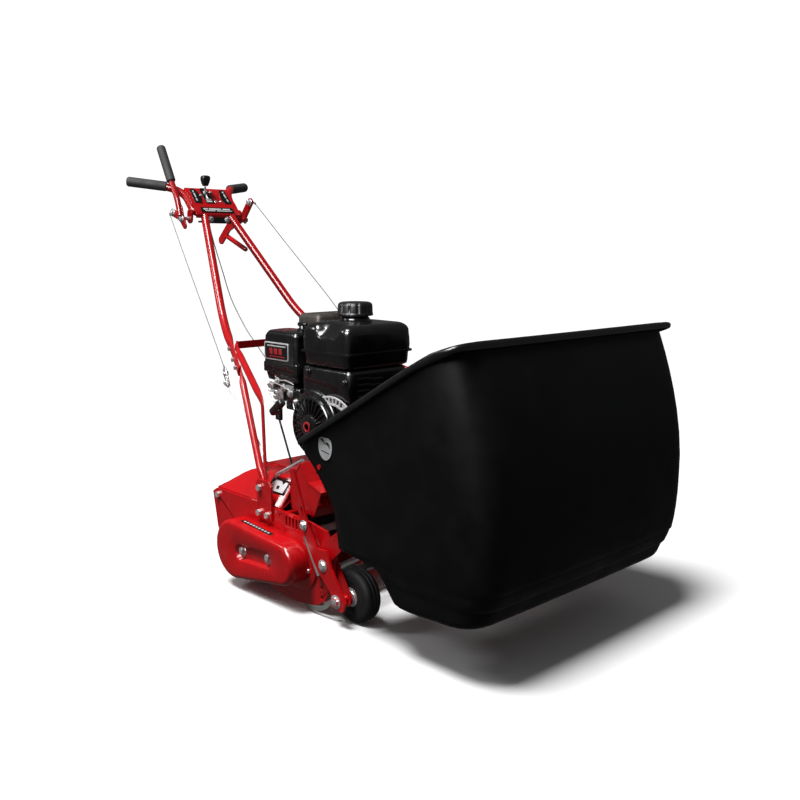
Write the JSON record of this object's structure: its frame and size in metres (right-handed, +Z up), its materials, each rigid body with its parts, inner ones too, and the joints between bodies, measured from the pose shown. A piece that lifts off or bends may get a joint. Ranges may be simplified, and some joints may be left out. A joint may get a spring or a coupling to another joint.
{
  "type": "reel mower",
  "caption": "Petrol reel mower with a rear traction drum, cutting reel, front height wheels, V-shaped tube handle with hand levers, and a wide moulded front grass catcher.",
  "frame": {"origin": "on the ground, midway between the side plates and 13 mm ahead of the drum axle", "axes": "+X to the operator's left, +Y rearward along the machine to the handle, +Z up; the operator stands at +Y and the grass catcher is at -Y"},
  "size_m": [0.672, 1.4424, 1.0349],
  "materials": {
    "frame_paint": "gloss powder coat",
    "engine_black": "gloss stove enamel",
    "engine_casting": "cast",
    "zinc": "zinc plated",
    "blade_steel": "ground steel",
    "rubber": "moulded",
    "tyre": "moulded",
    "black_plastic": "moulded",
    "catcher_plastic": "satin moulded polyethylene",
    "drum_paint": "satin",
    "cable_grey": "extruded sleeve",
    "muffler_metal": "heat tinted"
  },
  "bodies": {
    "chassis": {"side_plate_right": "frame_paint", "side_plate_left": "frame_paint", "engine_deck": "frame_paint", "grass_shield": "frame_paint", "tie_rods": "frame_paint", "bed_bar": "frame_paint", "bed_knife": "blade_steel", "handle_brackets": "frame_paint", "front_struts": "frame_paint", "rear_struts": "frame_paint", "handle_tubes": "frame_paint", "handlebar": "frame_paint", "control_panel": "frame_paint", "grips": "rubber", "cross_brace": "frame_paint", "lever_brackets": "frame_paint", "right_cable": "cable_grey", "left_cable": "cable_grey", "throttle_cable": "cable_grey", "cable_springs": "zinc", "drive_chain": "blade_steel", "chain_cover": "frame_paint", "drive_belt": "rubber", "belt_guard": "frame_paint", "bearing_flanges": "zinc", "height_combs": "frame_paint", "crankcase": "engine_casting", "blower_housing": "engine_black", "recoil_cover": "engine_black", "fuel_tank": "engine_black", "air_cleaner": "engine_black", "muffler": "muffler_metal", "catcher_hangers": "frame_paint", "frame_bolts": "zinc"},
    "drum": {"rear_drum": "drum_paint", "drum_shaft": "zinc", "drum_sprocket": "blade_steel"},
    "reel": {"reel_shaft": "zinc", "reel_discs": "frame_paint", "reel_blades": "blade_steel", "reel_sprocket": "blade_steel", "reel_pulley": "zinc"},
    "crank": {"crankshaft": "zinc", "engine_pulley": "zinc"},
    "starter_grip": {"starter_handle": "black_plastic"},
    "tank_cap": {"fuel_cap": "black_plastic"},
    "clutch_lever": {"right_lever": "frame_paint", "right_lever_grip": "rubber"},
    "blade_lever": {"left_lever": "frame_paint"},
    "throttle": {"throttle_lever": "zinc", "throttle_knob": "black_plastic"},
    "idler": {"idler_arm": "zinc"},
    "idler_wheel": {"idler_pulley": "black_plastic"},
    "arm_right": {"height_arm_right": "frame_paint"},
    "arm_left": {"height_arm_left": "frame_paint"},
    "wheel_right": {"tyre_right": "tyre", "hub_right": "zinc"},
    "wheel_left": {"tyre_left": "tyre", "hub_left": "zinc"},
    "catcher": {"grass_catcher": "catcher_plastic"}
  },
  "joints": [
    {"name": "drum_spin", "type": "hinge", "parent": "chassis", "child": "drum", "pos_m": [0, 0.013, 0.093], "axis": [1, 0, 0], "continuous": true},
    {"name": "reel_spin", "type": "hinge", "parent": "chassis", "child": "reel", "pos_m": [0, -0.165, 0.104], "axis": [1, 0, 0], "continuous": true},
    {"name": "crank_spin", "type": "hinge", "parent": "chassis", "child": "crank", "pos_m": [0, -0.079, 0.365], "axis": [1, 0, 0], "continuous": true},
    {"name": "starter_pull", "type": "slide", "parent": "chassis", "child": "starter_grip", "axis": [-0.05, 0.15, 0.9874], "range_m": [0, 0.45]},
    {"name": "cap_turn", "type": "hinge", "parent": "chassis", "child": "tank_cap", "pos_m": [-0.046, -0.092, 0.606], "axis": [0, 0, 1], "range_deg": [0, 90]},
    {"name": "clutch_lever_swing", "type": "hinge", "parent": "chassis", "child": "clutch_lever", "pos_m": [-0.0975, 0.563, 0.834], "axis": [1, 0, 0], "range_deg": [0, 30], "deforming": ["right_cable"]},
    {"name": "blade_lever_swing", "type": "hinge", "parent": "chassis", "child": "blade_lever", "pos_m": [0.0955, 0.563, 0.834], "axis": [1, 0, 0], "range_deg": [-25, 0], "deforming": ["left_cable"]},
    {"name": "throttle_swing", "type": "hinge", "parent": "chassis", "child": "throttle", "pos_m": [-0.012, 0.594, 0.868], "axis": [1, 0, 0], "range_deg": [-12, 12], "deforming": ["throttle_cable"]},
    {"name": "idler_swing", "type": "hinge", "parent": "chassis", "child": "idler", "pos_m": [0.3015, -0.02, 0.14], "axis": [1, 0, 0], "range_deg": [0, 5]},
    {"name": "idler_wheel_spin", "type": "hinge", "parent": "idler", "child": "idler_wheel", "pos_m": [0.292, -0.044, 0.211], "axis": [1, 0, 0], "continuous": true},
    {"name": "height_arm_right_swing", "type": "hinge", "parent": "chassis", "child": "arm_right", "pos_m": [-0.27, -0.269, 0.121], "axis": [1, 0, 0], "range_deg": [-8, 12]},
    {"name": "height_arm_left_swing", "type": "hinge", "parent": "chassis", "child": "arm_left", "pos_m": [0.27, -0.269, 0.121], "axis": [1, 0, 0], "range_deg": [-8, 12]},
    {"name": "wheel_right_spin", "type": "hinge", "parent": "arm_right", "child": "wheel_right", "pos_m": [-0.23, -0.31, 0.056], "axis": [1, 0, 0], "continuous": true},
    {"name": "wheel_left_spin", "type": "hinge", "parent": "arm_left", "child": "wheel_left", "pos_m": [0.23, -0.31, 0.056], "axis": [1, 0, 0], "continuous": true},
    {"name": "catcher_lift", "type": "slide", "parent": "chassis", "child": "catcher", "axis": [0, 0, 1], "range_m": [0, 0.25]}
  ],
  "couplings": [
    {"joint": "reel_spin", "follows": "drum_spin", "ratio": 3},
    {"joint": "idler_swing", "follows": "blade_lever_swing", "ratio": -0.2}
  ]
}
